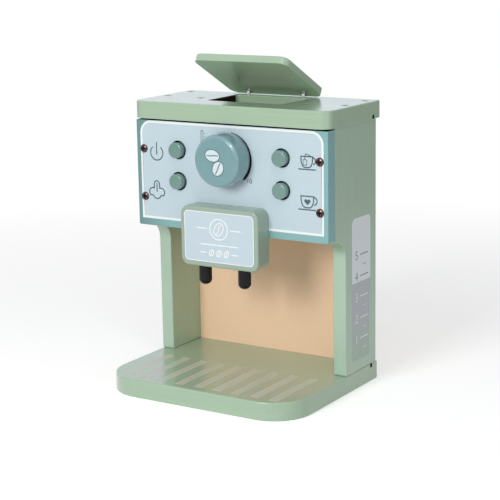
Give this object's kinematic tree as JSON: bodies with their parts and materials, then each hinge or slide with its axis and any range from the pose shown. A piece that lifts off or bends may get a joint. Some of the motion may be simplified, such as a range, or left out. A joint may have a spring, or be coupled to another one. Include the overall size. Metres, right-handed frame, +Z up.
{
  "type": "toy coffee maker",
  "caption": "Wooden toy coffee maker with a pod hopper under a hinged hatch lid, sprung push buttons, a turning knob and a brew head with nozzles over a cup bay.",
  "frame": {"origin": "centre of the footprint, on the surface that the base board stands on", "axes": "+Z up, +Y towards the back, +X to the right when the knob side is looked at"},
  "size_m": [0.1934, 0.152, 0.2846],
  "materials": {
    "sage_paint": "satin sage green paint on wood",
    "peach_paint": "flat peach paint on thin board",
    "teal_paint": "satin teal paint on wood with a pale print",
    "knob_paint": "satin blue green paint on turned wood",
    "button_paint": "satin grey green paint on turned wood",
    "head_paint": "satin pale sage paint on wood with a print",
    "black_paint": "satin black paint on turned wood",
    "bare_wood": "bare sanded wood",
    "brown_steel": "dark brown coated steel",
    "zinc_steel": "zinc plated steel",
    "bright_steel": "bright plated steel",
    "nylon": "white nylon"
  },
  "bodies": {
    "housing": {"base_board": "sage_paint", "left_side_panel": "sage_paint", "right_side_panel": "sage_paint", "back_panel": "peach_paint", "top_board": "sage_paint", "front_panel": "teal_paint", "hopper_shelf": "bare_wood", "spring_board": "bare_wood", "left_hopper_wall": "bare_wood", "right_hopper_wall": "bare_wood", "left_board_barrel": "bright_steel", "right_board_barrel": "bright_steel", "brew_head": "head_paint", "left_nozzle": "black_paint", "right_nozzle": "black_paint", "upper_left_spring": "zinc_steel", "upper_right_spring": "zinc_steel", "lower_left_spring": "zinc_steel", "lower_right_spring": "zinc_steel", "upper_left_panel_screw": "brown_steel", "upper_right_panel_screw": "brown_steel", "lower_left_panel_screw": "brown_steel", "lower_right_panel_screw": "brown_steel", "left_head_screw": "zinc_steel", "right_head_screw": "zinc_steel", "left_hopper_screw": "zinc_steel", "right_hopper_screw": "zinc_steel", "left_front_top_screw": "zinc_steel", "left_rear_top_screw": "zinc_steel", "right_front_top_screw": "zinc_steel", "right_rear_top_screw": "zinc_steel", "left_front_base_screw": "zinc_steel", "left_rear_base_screw": "zinc_steel", "right_front_base_screw": "zinc_steel", "right_rear_base_screw": "zinc_steel"},
    "lid": {"hatch_lid": "sage_paint", "left_lid_barrel": "bright_steel", "right_lid_barrel": "bright_steel"},
    "left_link": {"left_hinge_link": "bright_steel"},
    "right_link": {"right_hinge_link": "bright_steel"},
    "dial": {"knob": "knob_paint", "knob_bolt": "zinc_steel", "knob_front_washer": "nylon", "knob_rear_washer": "zinc_steel"},
    "upper_left_key": {"upper_left_button": "button_paint"},
    "upper_right_key": {"upper_right_button": "button_paint"},
    "lower_left_key": {"lower_left_button": "button_paint"},
    "lower_right_key": {"lower_right_button": "button_paint"}
  },
  "joints": [
    {"name": "lid_hinge", "type": "hinge", "parent": "housing", "child": "lid", "pos_m": [0, 0.0704, 0.24565], "axis": [-1, 0, 0], "range_deg": [-28, 62]},
    {"name": "left_link_turn", "type": "hinge", "parent": "housing", "child": "left_link", "pos_m": [-0.028, 0.0704, 0.24565], "axis": [-1, 0, 0], "range_deg": [-15.41, 34.11]},
    {"name": "right_link_turn", "type": "hinge", "parent": "housing", "child": "right_link", "pos_m": [0.028, 0.0704, 0.24565], "axis": [-1, 0, 0], "range_deg": [-15.41, 34.11]},
    {"name": "knob_turn", "type": "hinge", "parent": "housing", "child": "dial", "pos_m": [0, -0.012, 0.2011], "axis": [0, 1, 0], "continuous": true},
    {"name": "upper_left_press", "type": "slide", "parent": "housing", "child": "upper_left_key", "axis": [0, 1, 0], "range_m": [0, 0.0035], "stiffness_N_per_m": 400, "springref_m": -0.0015, "deforming": ["upper_left_spring"]},
    {"name": "upper_right_press", "type": "slide", "parent": "housing", "child": "upper_right_key", "axis": [0, 1, 0], "range_m": [0, 0.0035], "stiffness_N_per_m": 400, "springref_m": -0.0015, "deforming": ["upper_right_spring"]},
    {"name": "lower_left_press", "type": "slide", "parent": "housing", "child": "lower_left_key", "axis": [0, 1, 0], "range_m": [0, 0.0035], "stiffness_N_per_m": 400, "springref_m": -0.0015, "deforming": ["lower_left_spring"]},
    {"name": "lower_right_press", "type": "slide", "parent": "housing", "child": "lower_right_key", "axis": [0, 1, 0], "range_m": [0, 0.0035], "stiffness_N_per_m": 400, "springref_m": -0.0015, "deforming": ["lower_right_spring"]}
  ],
  "couplings": [
    {"joint": "left_link_turn", "follows": "lid_hinge", "ratio": 0.55},
    {"joint": "right_link_turn", "follows": "lid_hinge", "ratio": 0.55}
  ]
}
